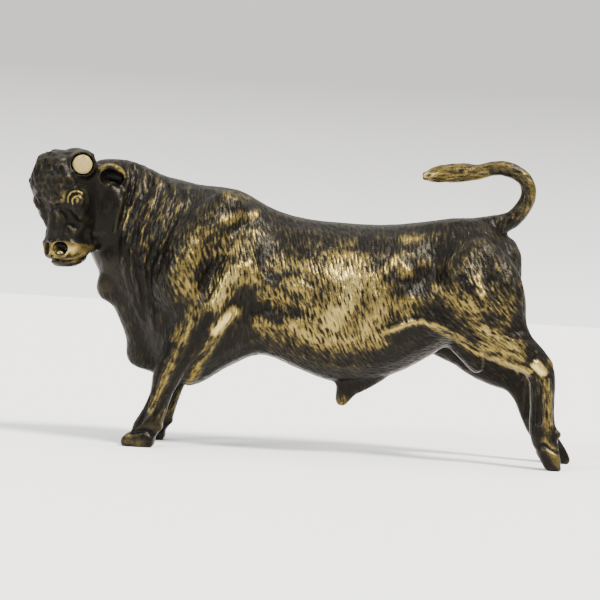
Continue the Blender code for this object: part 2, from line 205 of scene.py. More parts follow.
# The bridge of the nose, the corner of the eye, the muzzle's root, then both flanks and the left cheek
calm(head_point(-1.2, 0.5, 57.2), 6.5, 200)
calm(head_point(-0.5, 4.2, 57.0), 4.0, 25)
calm(head_point(-1.0, 1.0, 54.5), 5.5, 90)
for side in (-1, 1):
    calm((39.0, 11.5 * side, 49.5), 9.0, 150)
    calm((33.5, 13.0 * side, 43.5), 8.5, 150)
    calm((50.0, 7.5 * side, 50.0), 7.0, 80)
for place in ((-52.0, -10.0, 61.0), (-51.5, -10.5, 57.5), (-51.5, -10.0, 54.0), (-51.5, -9.0, 50.5)):
    calm(place, 6.0, 150)
write_skin(bull.data, points)
skin_tree = BVHTree.FromObject(bull, bpy.context.evaluated_depsgraph_get())


def face_back(left, up):
    """How far back the skin lies, looked at from straight ahead of the face."""
    start = (head_point(-30, left, up) + HOME) * MM
    hit = skin_tree.ray_cast(start, -AHEAD)[0]
    return -99.0 if hit is None else (hit - start).length / MM - 30


# Rolls of the face: lids and folds round the eyes, ear rims, nostril rings, lips and the crest of the poll
wax = bmesh.new()
head_roll(wax, [(-0.30, 6.3, 58.8, 1.25), (-0.30, 6.4, 58.3, 1.25)], (1, -1))
head_roll(wax, [(-0.1, 7.1, 59.1, 0.3), (-0.9, 6.5, 59.6, 0.38), (-1.3, 5.8, 59.4, 0.40),
                (-1.5, 5.2, 58.6, 0.38), (-1.1, 5.1, 57.6, 0.32)], (1, -1))
head_roll(wax, [(-0.2, 7.2, 60.2, 0.35), (-1.1, 6.2, 60.7, 0.42), (-1.6, 5.0, 60.4, 0.45),
                (-1.8, 4.2, 59.4, 0.42), (-1.3, 3.8, 58.1, 0.35)], (1, -1))
head_roll(wax, [(-1.0, 5.3, 57.0, 0.3), (-0.8, 6.2, 56.8, 0.35), (-0.1, 7.0, 57.3, 0.3)], (1, -1))
head_roll(wax, [(6.0, 6.9, 64.8, 0.5), (6.3, 7.4, 66.6, 0.7), (7.6, 8.4, 67.6, 0.85),
                (9.6, 9.4, 67.4, 0.85), (11.2, 10.1, 66.5, 0.7), (12.1, 10.2, 65.2, 0.5)], (1, -1))
head_roll(wax, [(6.2, 7.0, 64.4, 0.4), (7.2, 7.4, 63.2, 0.45), (9.2, 8.2, 62.5, 0.5),
                (11.0, 9.0, 62.9, 0.5), (12.0, 9.8, 64.2, 0.45)], (1, -1))
NOSTRIL_BACK, NOSTRIL_OUT, NOSTRIL_UP = -0.80, 1.80, 46.7
head_roll(wax, [(NOSTRIL_BACK + 0.95 * math.cos(t), NOSTRIL_OUT + 1.65 * math.cos(t),
                 NOSTRIL_UP + 1.85 * math.sin(t), 0.5) for t in np.linspace(0, 2 * math.pi, 15)], (1, -1))
head_roll(wax, [(-0.4, 2.8, 48.7, 0.5), (0.6, 4.3, 48.2, 0.55), (2.6, 5.1, 47.8, 0.55),
                (5.0, 5.2, 47.8, 0.45)], (1, -1))
head_roll(wax, [(-0.2, 0.0, 45.0, 0.5), (0.5, 2.4, 44.7, 0.55), (3.0, 4.0, 45.0, 0.55),
                (5.6, 4.7, 46.0, 0.45)], (1, -1))
head_roll(wax, [(2.0, 0.0, 43.0, 0.6), (2.8, 2.2, 43.1, 0.55), (5.2, 3.5, 43.9, 0.45)], (1, -1))
head_roll(wax, [(0.6, 0.4, 69.9, 0.5), (2.2, 1.6, 70.2, 0.65), (3.0, 3.2, 70.6, 0.7),
                (3.1, 5.0, 70.6, 0.65), (3.4, 6.8, 69.9, 0.5)], (1, -1))

# Woolly locks of the forelock: short curls that start on the crown and hang over the brow
shuffle = np.random.default_rng(17)
LOCK_TOP, LOCK_APART, LOCK_SIZE, LOCK_THICK = 69.3, 1.5, 0.92, 0.42
# Half width of each row of locks, from the crown down
LOCK_ROWS = (5.9, 6.0, 6.2, 6.2, 6.0, 5.4, 4.4, 3.6, 2.4)
for row, half in enumerate(LOCK_ROWS):
    up = LOCK_TOP - LOCK_APART * row
    for place in np.arange(-6.6, 4.6, LOCK_APART) + 0.5 * LOCK_APART * (row % 2):
        by_the_horn = place > 2.4 and up > 64.6
        if abs(place + 1.0) / half > 1.0 or by_the_horn:
            continue
        swirl, way = shuffle.uniform(0, 6.28), shuffle.choice((-1, 1))
        lock = []
        for t in np.linspace(0, 4.4, 8):
            size = LOCK_SIZE * (1 - 0.13 * t)
            left = place + size * math.cos(swirl + way * t)
            high = up + size * math.sin(swirl + way * t) - 0.22 * t
            back = face_back(left, high)
            if back < -20:
                break
            lock.append((back - 0.02, left, high, LOCK_THICK - 0.03 * t))
        if len(lock) > 3 and max(abs(a[0] - b[0]) for a, b in zip(lock, lock[1:])) < 1.2:
            head_roll(wax, lock)

# Twisted strands of the tail's tuft: x, z, how far the strands stand off the middle, and their radius
TUFT = [(43.0, 73.3, 1.2, 0.4), (40.0, 72.5, 1.45, 0.6), (36.0, 71.9, 1.75, 0.75),
        (32.0, 71.5, 1.75, 0.75), (29.0, 71.0, 1.3, 0.7), (26.9, 70.5, 0.6, 0.6)]
for strand in range(4):
    knots = []
    for k, (x, z, wide, radius) in enumerate(TUFT):
        turn = 1.57 * strand + 0.9 * k
        knots.append((x, wide * math.cos(turn), z + wide * math.sin(turn), radius))
    roll_on(wax, knots)
wax.from_mesh(bull.data)
bpy.data.objects.remove(bull, do_unlink=True)
bull = fresh_skin(wax, "bull")
pairs = joins(bull.data)
points, outward = read_skin(bull.data)
points = spread(points, pairs, 3)
write_skin(bull.data, points)


def press(moved):
    """Move the skin in or out by so many millimetres at each point, and read it again."""
    global points, outward
    points = points + outward * moved[:, None]
    write_skin(bull.data, points)
    points, outward = read_skin(bull.data)


FLANK_TURN = 1.6                   # how soon a stroke takes its full height as the skin turns to the side


def tool(strokes):
    """Raise or cut both flanks along lines seen from the side: width, height, then x, z pairs."""
    moved = np.zeros(len(points))
    for width, height, *line in strokes:
        path = smooth_path(line, 1.5) if len(line) > 2 else np.array(line, dtype=float)
        low, high = path.min(axis=0) - width, path.max(axis=0) + width
        near = np.flatnonzero(((points[:, (0, 2)] > low) & (points[:, (0, 2)] < high)).all(axis=1))
        weight = bell(line_distance(points[near][:, (0, 2)], path), width)
        facing = np.clip(np.abs(outward[near, 1]) * FLANK_TURN, 0, 1)
        moved[near] += weight * facing * height
    press(moved)


def space_tool(strokes):
    """Raise or cut along lines in space: width, height, then x, y, z points."""
    moved = np.zeros(len(points))
    for width, height, *line in strokes:
        path = np.array([tuple(p) for p in line], dtype=float)
        low, high = path.min(axis=0) - width, path.max(axis=0) + width
        near = np.flatnonzero(((points > low) & (points < high)).all(axis=1))
        moved[near] += bell(line_distance(points[near], path), width) * height
    press(moved)


def face_tool(strokes, sides=(1, -1)):
    space_tool([(row[0], row[1], *[head_point(p[0], p[1] * side, p[2]) for p in row[2:]])
                for side in sides for row in strokes])


# Cuts of the face: nostrils, mouth, the hollows round the eye, the ear's cup, cheek creases
face_tool([
    (0.6, -0.5, (0.2, 0.0, 44.0), (1.0, 2.6, 43.8), (3.4, 4.2, 44.4), (5.6, 5.0, 45.3)),
    (0.8, -0.4, (-0.7, 0.0, 45.6), (-0.9, 0.0, 47.6)),
    (0.45, -0.30, (-1.0, 6.1, 59.2), (-1.2, 5.8, 58.7), (-1.1, 5.7, 57.9)),
    (0.45, -0.35, (-1.1, 6.5, 60.2), (-1.6, 5.3, 59.9), (-1.8, 4.6, 59.0), (-1.3, 4.4, 57.8)),
    (1.6, -0.7, (-1.7, 1.1, 56.6), (-1.4, 2.2, 56.0)),
    (2.0, -0.8, (-0.4, 3.3, 55.0), (0.4, 3.8, 54.0), (1.1, 4.1, 53.2)),
    (1.2, -0.4, (-0.1, 5.8, 55.6), (0.4, 5.4, 55.0)),
    (1.3, -0.4, (-0.4, 3.0, 52.6), (-0.2, 3.3, 51.0)),
    (1.0, -0.5, (6.4, 5.4, 51.0), (7.4, 5.4, 49.6), (9.6, 6.0, 49.9)),
    (2.0, 0.60, (3.2, 6.0, 54.7), (4.6, 6.0, 54.1)),
    (2.0, 0.50, (5.4, 5.3, 51.6), (6.0, 5.1, 50.0)),
    (1.6, 0.30, (7.2, 6.0, 51.2), (8.8, 6.8, 51.6), (10.6, 7.2, 52.2)),
    (1.8, 0.5, (9.6, 6.8, 57.5), (11.6, 7.2, 55.2)),
    (1.4, -0.4, (7.8, 6.6, 59.4), (8.2, 6.5, 56.4), (8.8, 6.4, 54.0)),
    (2.1, -1.0, (7.6, 8.0, 64.9), (9.2, 8.6, 65.1), (10.8, 9.3, 64.8)),
    (0.8, 0.7, (9.4, 8.5, 63.8), (10.4, 9.0, 64.0)),
    (1.3, 0.5, (-1.9, 3.0, 60.2), (-1.5, 2.4, 58.8)),
    (1.3, 0.5, (-1.9, -0.3, 59.4), (-1.6, -0.6, 58.2)),
    (0.8, -0.8, (1.0, 2.1, 68.9), (0.4, 2.2, 68.4)),
])

# The left nostril is bored deep, with a lip inside it, and the right one is shallower
face_tool([(1.75, -1.9, (-1.1, 1.6, 46.9), (-0.8, 2.2, 46.9)),
           (1.0, 1.1, (0.0, 1.2, 46.1), (0.2, 1.5, 46.0))], (1,))
face_tool([(1.3, -1.0, (-1.1, 1.5, 46.9), (-0.8, 2.0, 46.9))], (-1,))

# Folds of the neck, from the nape down to the throat, and the muscles under the hide
NECK_FOLDS = [
    [(-47.6, 69.8), (-46.4, 65.2), (-46.8, 60.6), (-48.0, 56.0), (-48.4, 52.0)],
    [(-45.3, 69.5), (-43.9, 64.8), (-44.2, 60.0), (-45.7, 55.1), (-46.3, 51.1)],
    [(-43.3, 69.2), (-41.8, 64.1), (-41.9, 58.9), (-43.4, 54.0), (-44.6, 49.6)],
    [(-40.9, 68.2), (-39.2, 63.5), (-39.9, 57.9), (-41.2, 53.0), (-42.5, 48.1)],
    [(-38.4, 66.3), (-37.1, 61.6), (-37.8, 56.4), (-39.4, 49.9), (-40.7, 45.0)],
    [(-35.9, 65.3), (-34.6, 60.6), (-35.7, 54.5), (-37.3, 48.0), (-38.6, 43.0)],
    [(-33.9, 64.6), (-33.2, 58.6), (-34.5, 53.4), (-36.2, 48.9), (-38.0, 40.4)],
    [(-31.4, 63.5), (-31.2, 58.7), (-32.9, 53.4), (-34.6, 47.7), (-36.4, 39.3)],
]
FOLD_WIDE, FOLD_HIGH, FINE_FOLD_WIDE, FINE_FOLD_HIGH = 0.95, 0.46, 0.75, 0.26
folds = []
for k, line in enumerate(NECK_FOLDS):
    folds.append((FOLD_WIDE, FOLD_HIGH - 0.02 * k, *line))
    if k:
        middle = 0.5 * (np.array(line) + np.array(NECK_FOLDS[k - 1])) + (0.15, -0.6)
        folds.append((FINE_FOLD_WIDE, FINE_FOLD_HIGH, *[tuple(place) for place in middle[(k % 2):]]))
tool(folds)
# Dewlap
tool([
    (1.1, 0.35, (-46.6, 50), (-45.8, 44), (-43.8, 37), (-40.5, 30)),
    (1.1, 0.35, (-43.8, 47), (-43.0, 41), (-40.8, 34)),
    (1.1, 0.35, (-40.8, 43), (-39.6, 36), (-37.6, 29)),
    (1.1, -0.30, (-45.2, 47.5), (-44.4, 42), (-42.2, 35)),
])
# Shoulder and forearm, ribs, flank fold, thigh and shank, then the cleft and rim of the near hooves
tool([
    (2.2, 0.34, (-14.3, 58.5), (-17.8, 57.3), (-21.7, 55.4), (-27.2, 53.2)),
    (2.0, -0.22, (-15.0, 55.9), (-19.0, 54.3), (-24.0, 51.9)),
    (1.6, -0.75, (-22.0, 47.3), (-24.2, 43.6), (-26.0, 39.1), (-25.0, 37.1)),
    (2.6, 0.45, (-18.0, 45.0), (-20.6, 41.0), (-22.4, 36.6)),
    (2.2, -0.45, (-14.0, 40.2), (-17.0, 37.2), (-19.0, 35.6)),
    (1.9, 0.70, (-17.9, 34.4), (-20.2, 31.0), (-22.4, 26.9), (-26.8, 18.8), (-30.5, 11.8)),
    (1.3, -0.50, (-24.0, 33.0), (-27.0, 26.4), (-30.0, 20.0), (-32.6, 14.0)),
    (1.5, 0.40, (-28.1, 31.0), (-32.4, 20.0), (-35.2, 12.2)),
    (2.4, -0.60, (-13.0, 35.0), (-8.0, 36.0), (-3.0, 34.4)),
    (2.2, -0.35, (-9.5, 43.5), (-6.0, 40.5), (-2.0, 38.5)),
    (1.6, 0.30, (-12.0, 38.6), (-7.7, 37.6), (-4.5, 36.8)),
    (2.2, 0.35, (18.0, 46.2), (20.6, 48.6), (23.4, 46.0)),
    (1.3, 0.60, (18.4, 31.2), (20.0, 31.8), (24.1, 33.5), (27.4, 34.2), (31.7, 32.9), (36.9, 30.5),
     (42.1, 27.6), (49.9, 25.1), (54.0, 23.6)),
    (2.0, -0.30, (26.0, 38.2), (31.0, 36.8), (36.0, 34.0)),
    (2.2, 0.15, (39.9, 45.5), (41.3, 42.1), (43.2, 38.6)),
    (2.2, -0.12, (42.6, 45.0), (44.4, 40.0), (46.0, 36.6)),
    (1.7, 0.55, (55.3, 25.6), (57.3, 23.8)),
    (1.0, 0.45, (59.3, 27.0), (59.9, 25.9)),
    (1.0, -0.40, (57.2, 21.5), (57.0, 15.5), (57.2, 11.5)),
    (1.0, 0.35, (58.9, 22.0), (59.5, 16.5), (59.9, 11.5)),
    (0.8, -0.55, (-40.6, 3.4), (-38.0, 4.2), (-35.8, 3.4)),
    (0.8, 0.40, (-42.4, 2.6), (-39.2, 3.1)),
    (0.8, -0.50, (58.6, 6.4), (60.4, 5.2), (62.4, 4.6)),
])

# The combed hide. A small chisel leaves short grooves side by side, which follow the lie of the hair.
# Each row says where on the flank, in side view, and how far the grooves lean to the rear on the way down.
LIE = [(-49, 62, -5), (-45, 60, -8), (-44.5, 52, -14), (-44, 43, 2), (-41, 32, 18), (-40, 64, -8),
       (-38, 57, -14), (-38, 49, -18), (-38, 41, -8), (-36, 32, 8), (-31, 62, -6), (-24, 60, 4),
       (-18, 60, 6), (-30, 54, 2), (-25, 50, 8), (-18, 50, 14), (-32, 46, 30), (-31, 40, 42),
       (-28, 37, 35), (-24, 44, 0), (-20, 40, -10), (-16, 45, 18), (-20, 35, -25), (-10, 55, 5),
       (-8, 47, 18), (-12, 38, 30), (-6, 36, 32), (-2, 44, 28), (4, 50, 12), (0, 38, 30), (2, 32, 30),
       (-10, 29, 18), (8, 42, 14), (12, 48, 6), (12, 35, 14), (8, 28, 26), (18, 40, 6), (20, 50, 0),
       (18, 30, 24), (26, 42, 14), (27, 36, 42), (28, 52, 0), (36, 54, 4), (34, 45, 26), (40, 49, 18),
       (40, 40, 42), (44, 45, 28), (46, 36, 55), (50, 31, 65), (54, 28, 58), (57, 24, 25), (58, 15, 0),
       (59, 9, 8), (33, 35, 62), (41, 30, 70), (-10, 22, 55), (5, 20, 50), (20, 23, 60), (36, 24, 75),
       (-27, 30, -30), (-30, 24, -30), (-33, 18, -24), (-35, 12, -18), (-38, 6, -35), (62, 6, 30),
       (48, 54, 10), (48, 46, 10), (10, 15, 0), (48, 24, 60), (56, 17, 20)]
LIE_REACH = 4.5                    # how far a row of the table counts
TAIL_REACH = 3.2                   # on the tail the hair follows its middle line
TAIL = [(47.0, 0, 59.8), (49.4, 0, 60.9), (52.2, 0, 64.4), (53.3, 0, 67.9), (51.9, 0, 71.4),
        (47.7, 0, 73.5), (43.7, 0, 73.4), (39.9, 0, 72.2), (33.9, 0, 71.7), (27.4, 0, 70.6)]


def lie_of_hair(places):
    """The direction of the grooves at each place, before it is laid on the skin."""
    anchors = np.array(LIE, dtype=float)
    lean = np.radians(anchors[:, 2])
    off_x, off_z = places[:, None, 0] - anchors[None, :, 0], places[:, None, 2] - anchors[None, :, 1]
    apart = off_x ** 2 + off_z ** 2
    weight = np.exp(-apart / (2 * LIE_REACH ** 2)) + 1e-9
    weight /= weight.sum(axis=1)[:, None]
    flow = np.stack([weight @ np.sin(lean), np.zeros(len(places)), -(weight @ np.cos(lean))], axis=1)
    path = smooth_path(TAIL, 1.0)
    for k in range(len(path) - 1):
        near = np.linalg.norm(places - path[k], axis=1) < TAIL_REACH
        near &= (places[:, 0] > 46.5) | (places[:, 2] > 66)
        flow[near] = path[k + 1] - path[k]
    return flow


# Where the tool goes deeper: middle x and z, half width, half height, and how much deeper.
# They are the shoulder, the ribs, the thigh, the neck and the back behind the withers.
DEEPER = [(-24, 47, 9, 10, 0.10), (4, 36, 17, 12, 0.10), (42, 37, 11, 12, 0.08), (-40, 52, 7, 14, 0.06),
          (-12, 52, 12, 10, 0.03)]
HIDE_DEPTH, FOREHEAD_DEPTH = 0.10, 0.05
HOOF_TOP, HOOF_FADE = 5.5, 3.0     # the hooves are smooth up to here, and the grooves set in above
POLL_X, FACE_LONG, BROW = -47, 13.5, 57        # the face lies ahead of these, and is bare below the brow
TOP_SHARE = 0.55                   # of the depth, where the skin faces up, down or along


def groove_depth(places, ways):
    """How deep the tool goes at each place: deep on shoulder, ribs and thigh, none on hooves and muzzle."""
    x, z = places[:, 0], places[:, 2]
    depth = np.full(len(places), HIDE_DEPTH)
    for cx, cz, rx, rz, extra in DEEPER:
        depth += extra * np.exp(-((x - cx) / rx) ** 2 - ((z - cz) / rz) ** 2)
    depth *= np.clip((z - HOOF_TOP) / HOOF_FADE, 0, 1)
    away = places - np.array(FACE)
    back = -(away @ np.array(AHEAD))
    face = (x < POLL_X) & (back < FACE_LONG)
    depth[face] = FOREHEAD_DEPTH
    depth[face & (z < BROW)] = 0.0
    depth[np.abs(ways[:, 1]) < 0.25] *= TOP_SHARE
    return depth


GROOVE_APART, GROOVE_LONG, GROOVE_WIDE = 0.86, 2.8, 0.38
GROOVE_CUT = 1.45                  # depth of a cut, as a share of the depth given for its place
NEAR_ALONG, NEAR_BESIDE = 0.80 * GROOVE_LONG, 0.86 * GROOVE_APART      # no groove starts closer than this
GROOVE_TRIES = 110000              # places where the tool is tried, in random order
CELL = 2.0                         # grooves are looked up by cells of this size
order = shuffle.permutation(len(points))[:GROOVE_TRIES]
flow = lie_of_hair(points[order])
flow -= outward[order] * (flow * outward[order]).sum(axis=1)[:, None]
flow /= np.linalg.norm(flow, axis=1)[:, None] + 1e-9
cross = np.cross(outward[order], flow)
depths = groove_depth(points[order], outward[order])
tree = KDTree(len(points))
for k, place in enumerate(points):
    tree.insert(place, k)
tree.balance()
taken = {}


def crowded(place, cell, along, beside):
    """Whether a groove is already cut too close: nearer along the hair than across it."""
    for step in np.ndindex(3, 3, 3):
        for other in taken.get(tuple(c + s - 1 for c, s in zip(cell, step)), ()):
            gap = place - other
            if (gap @ along / NEAR_ALONG) ** 2 + (gap @ beside / NEAR_BESIDE) ** 2 < 1:
                return True
    return False


cuts = np.zeros(len(points))
for k in range(len(order)):
    if depths[k] < 0.02:
        continue
    place = points[order[k]]
    cell = tuple(int(c) for c in place // CELL)
    if crowded(place, cell, flow[k], cross[k]):
        continue
    taken.setdefault(cell, []).append(place)
    found = np.array([i for _, i, _ in tree.find_range(place, 0.62 * GROOVE_LONG)])
    gap = points[found] - place
    bend = shuffle.uniform(-0.09, 0.09)
    along, beside = gap @ flow[k], gap @ cross[k]
    beside = beside + bend * along ** 2
    long_half = 0.5 * GROOVE_LONG * shuffle.uniform(0.85, 1.2)
    cut = bell(np.abs(beside), GROOVE_WIDE) * bell(np.abs(along), long_half)
    cut = cut * depths[k] * shuffle.uniform(0.75, 1.25)
    facing = outward[found] @ outward[order[k]] > 0.3
    cuts[found] = np.maximum(cuts[found], cut * facing)
points = points - outward * (GROOVE_CUT * cuts)[:, None]
write_skin(bull.data, points)
points = spread(points, pairs, 1, 0.25)
write_skin(bull.data, points)

# The skin is thinned to what the eye can use, and the soles are filed flat.
faces = sum(len(face.vertices) - 2 for face in bull.data.polygons)
thin = bull.modifiers.new("thin", "DECIMATE")
thin.ratio = WAX_FACES / faces
settle(bull)
low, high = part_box("bull_casting")
points, outward = read_skin(bull.data)
points = np.clip(points, np.array((low / MM) - HOME), np.array((high / MM) - HOME))
write_skin(bull.data, points)

# How far each place stands over the skin round it, finely and broadly
pairs = joins(bull.data)
points, outward = read_skin(bull.data)
fine = ((points - spread(points, pairs, 10)) * outward).sum(axis=1)[:, None]
fine = np.clip((fine - spread(fine, pairs, 40))[:, 0] / 0.10, -1.5, 1.5)
broad = ((points - spread(points, pairs, 90)) * outward).sum(axis=1)
broad = np.clip((broad - 0.2) / 0.6, -1, 1)

# Where hands have rubbed the patina through: rows of strength, width, then x, z points in side view
RUBBED = [
    (0.14, 13.0, (-30.0, 56.0), (-12.0, 56.0), (5.0, 48.0), (25.0, 50.0), (42.0, 50.0), (46.0, 42.0)),
    (0.16, 9.0, (-40.0, 62.0), (-39.0, 52.0)),
    (0.60, 1.7, (-45.6, 57.5), (-46.6, 53.4)),
    (0.16, 8.0, (-10.0, 26.0), (10.0, 26.0)),
    (0.55, 3.0, (-14.7, 58.1), (-20.9, 56.3)),
    (0.45, 4.0, (-27.8, 51.3), (-14.4, 52.9)),
    (0.50, 4.0, (-22.9, 49.2), (-15.7, 48.1)),
    (0.62, 4.6, (-26.9, 49.8), (-30.6, 44.8), (-31.1, 40.0), (-27.4, 37.8)),
    (0.6, 2.6, (-28.6, 44.9), (-26.8, 47.4)),
    (1.0, 4.6, (-17.8, 43.9), (-20.8, 40.6), (-22.5, 36.1)),
    (0.8, 3.4, (-15.2, 45.0), (-13.3, 41.8)),
    (0.35, 2.4, (-22.1, 62.2), (-16.1, 62.6)),
    (1.4, 2.6, (-18.0, 34.0), (-20.3, 31.4), (-22.1, 28.9)),
    (0.4, 1.6, (-33.9, 59.3), (-34.5, 55.7)),
    (0.4, 1.6, (-35.4, 51.7), (-36.4, 48.8)),
    (0.65, 3.2, (-27.2, 34.6), (-29.0, 30.5), (-31.2, 26.8)),
    (0.7, 2.2, (-22.4, 26.9), (-26.8, 18.8), (-30.5, 11.8), (-33.6, 6.8)),
    (0.5, 1.8, (-31.5, 24), (-34.6, 15), (-36.8, 9)),
    (0.5, 2.0, (-42.4, 2.2), (-38.7, 1.2)),
    (0.65, 4.6, (-8.2, 46.3), (-4.2, 46.2), (1.0, 44.9)),
    (1.0, 8.5, (6.5, 45.2), (10.6, 43.1), (8.6, 37.4), (5.6, 33.2)),
    (0.7, 3.6, (7.1, 48.4), (12.7, 47.9)),
    (0.85, 6.0, (14.6, 43.3), (17.8, 36.3), (13.7, 32.1)),
    (0.7, 3.4, (-10.6, 39.0), (-7.7, 37.2), (-4.9, 36.6)),
    (0.75, 5.0, (-4.0, 41.4), (-0.2, 38.5), (1.5, 35.4)),
    (0.65, 3.2, (-12.1, 31.8), (-9.2, 29.6), (-6.0, 29.0)),
    (0.85, 4.4, (-3.8, 31.1), (0.3, 29.0), (5.9, 28.4), (11.5, 29.2), (17.0, 30.2)),
    (0.6, 3.2, (18.0, 45.9), (20.6, 48.4), (22.8, 46.2)),
    (0.75, 4.2, (20.1, 38.1), (23.3, 36.7), (24.8, 38.3)),
    (0.8, 2.4, (22.3, 53.9), (25.4, 54.6)),
    (0.55, 2.4, (20.6, 49.6), (22.5, 50.1)),
    (0.4, 2.6, (-1.8, 51.9), (1.0, 51.6)),
    (0.4, 2.8, (4.6, 50.6), (10.1, 52.6)),
    (0.4, 2.6, (26.6, 48.8), (30.3, 49.0)),
    (0.40, 2.6, (37.9, 49.0), (40.1, 48.3)),
    (0.30, 2.4, (44.2, 49.0), (45.2, 46.5)),
    (0.62, 2.8, (39.9, 44.9), (41.3, 42.1), (42.7, 39.2)),
    (0.7, 3.6, (30.3, 42.3), (34.6, 40.4), (36.5, 37.6)),
    (0.75, 3.4, (36.3, 40.9), (39.8, 37.8), (40.0, 35.3)),
    (0.42, 3.0, (44.5, 44.0), (45.7, 39.0), (47.5, 35.7)),
    (0.9, 2.8, (41.8, 33.3), (45.3, 31.4), (50.9, 29.2)),
    (0.8, 2.4, (42.5, 29.1), (47.2, 28.1), (51.4, 27.1)),
    (1.6, 2.5, (55.3, 25.2), (57.1, 24.1)),
    (0.9, 1.6, (59.4, 26.7), (59.9, 26.1)),
    (0.75, 2.2, (57.6, 21.6), (58.9, 17.9), (59.5, 10.0)),
    (0.6, 1.8, (59.2, 7.3), (62.2, 2.1)),
    (0.5, 1.3, (36.2, 54.0), (36.4, 53.8)),
    (0.5, 1.2, (35.1, 43.8), (35.2, 43.6)),
    (0.9, 1.6, (20.0, 31.6), (24.1, 33.5), (27.4, 34.2), (31.7, 32.7), (36.9, 30.5), (42.1, 27.4),
     (49.9, 24.9), (54.2, 23.1)),
]
FOLLOW_ROUNDS = 350                # enough for the values to settle along the whole body


def follow(ways, start):
    """A value that grows by one per millimetre along the ways over the skin, as nearly as one value can."""
    a, b = pairs.T
    count = len(points)
    rise = 0.5 * ((ways[a] + ways[b]) * (points[b] - points[a])).sum(axis=1)

    def pull(values):
        gap = values[b] - values[a]
        return np.bincount(b, gap, count) - np.bincount(a, gap, count)

    values = start.astype(float)
    rest = np.bincount(b, rise, count) - np.bincount(a, rise, count) - pull(values)
    way = rest.copy()
    size = rest @ rest
    for k in range(FOLLOW_ROUNDS):
        pulled = pull(way)
        values = values + way * (size / (way @ pulled))
        rest = rest - pulled * (size / (way @ pulled))
        smaller = rest @ rest
        way = rest + way * (smaller / size)
        size = smaller
    return values


flow = lie_of_hair(points)
flow -= outward * (flow * outward).sum(axis=1)[:, None]
across = np.cross(outward, flow)
across *= np.where(across[:, :1] < 0, -1.0, 1.0)
across = spread(across, pairs, 8)
across /= np.linalg.norm(across, axis=1)[:, None] + 1e-9
combed = np.stack([follow(flow, -points[:, 2]), follow(across, points[:, 0]),
                   np.clip(groove_depth(points, outward) / 0.15, 0, 1)], axis=1)
RIGHT_SHARE, RIGHT_FACE_SHARE = 0.85, 0.35     # how much the right side is rubbed, beside the left
RUB_TURN = 2.2                     # how soon rubbing sets in as the skin turns to the side
rubbed = np.zeros(len(points))
flank = points[:, (0, 2)]
for strength, width, *line in RUBBED:
    reach = strength * bell(line_distance(flank, np.array(line, dtype=float)), width)
    rubbed = np.maximum(rubbed, reach * np.clip(-outward[:, 1] * RUB_TURN, 0, 1))
    rubbed = np.maximum(rubbed, RIGHT_SHARE * reach * np.clip(outward[:, 1] * RUB_TURN, 0, 1))

# The head keeps more of its patina, the tail's tuft is bright, and so is the tip of the sheath
HEAD_X, HEAD_Z, FORELOCK_Z, HEAD_FADE = -46.5, 40, 60.5, 3
at_head = np.clip((HEAD_X - points[:, 0]) / HEAD_FADE, 0, 1)
at_head *= np.clip((points[:, 2] - HEAD_Z) / HEAD_FADE, 0, 1)
rubbed -= at_head * np.where(points[:, 2] > FORELOCK_Z, -0.06, 0.20)
TUFT_X, TUFT_RUBBED, TAIL_RUBBED = 43, 1.16, 0.66
on_tail = bell(line_distance(points, smooth_path(TAIL, 1.0)), 4.0)
on_tail *= (points[:, 2] > 61) * (points[:, 0] > 25)
rubbed = np.maximum(rubbed, on_tail * np.where(points[:, 0] < TUFT_X, TUFT_RUBBED, TAIL_RUBBED))
combed[:, 2] *= 1 - 0.7 * on_tail
SHEATH_TIP = np.array([(10.2, 0, 13.6), (9.4, 0, 12.0)])
rubbed = np.maximum(rubbed, 0.7 * bell(line_distance(points, SHEATH_TIP), 3.0))
FACE_RUBBED = [
    (1.25, 2.6, (-0.9, 0.2, 46.6), (-0.9, 2.2, 46.6), (1.6, 4.8, 46.4), (5.5, 5.4, 46.6)),
    (0.9, 1.3, (-0.3, 0.0, 44.9), (1.0, 2.7, 44.4), (4.6, 4.2, 44.8)),
    (1.35, 1.1, (6.3, 7.4, 66.9), (7.8, 8.4, 68.0), (9.6, 9.6, 67.7), (11.2, 10.3, 66.7),
     (11.9, 10.3, 65.9)),
    (0.70, 0.65, (-0.5, 7.2, 60.3), (-1.4, 6.2, 60.9), (-2.0, 5.0, 60.6), (-2.2, 4.2, 59.5),
     (-1.6, 3.8, 58.2)),
    (0.85, 0.6, (-0.4, 7.1, 59.2), (-1.2, 6.5, 59.8), (-1.7, 5.8, 59.5), (-1.8, 5.2, 58.6),
     (-1.4, 5.1, 57.7)),
    # The small spot on the front of each eye is rubbing of its high point, and it is also a painted
    # highlight of the eye.
    (0.9, 0.7, (-1.5, 6.4, 58.8), (-1.4, 6.5, 58.4)),
    (0.38, 2.2, (-1.9, 2.0, 61.5), (-1.9, 2.2, 59.0)),
    (0.42, 1.6, (0.6, 3.0, 69.6), (0.2, 2.8, 67.6)),
    (0.5, 1.1, (2.4, 1.6, 70.4), (3.2, 3.4, 71.2), (3.2, 5.4, 71.0), (3.4, 6.9, 70.2)),
]
for strength, width, *line in FACE_RUBBED:
    for side in (1, -1):
        path = np.array([tuple(head_point(p[0], p[1] * side, p[2])) for p in line])
        reach = strength * bell(line_distance(points, path), width)
        rubbed = np.maximum(rubbed, reach if side > 0 else RIGHT_FACE_SHARE * reach)
in_nostril = np.array(head_point(0.5, 1.7, 46.8))
rubbed -= 0.8 * bell(np.linalg.norm(points - in_nostril, axis=1), 1.9)

# The sockets of the horns are drilled after the wax is cast, and dirt stays round them.
STUB_RADIUS, STUB_DEEP, STUB_GAP = 2.30, 2.0, 0.30
SOCKET_GAP = 0.05                  # seen gap, narrower than the free space that the solids keep
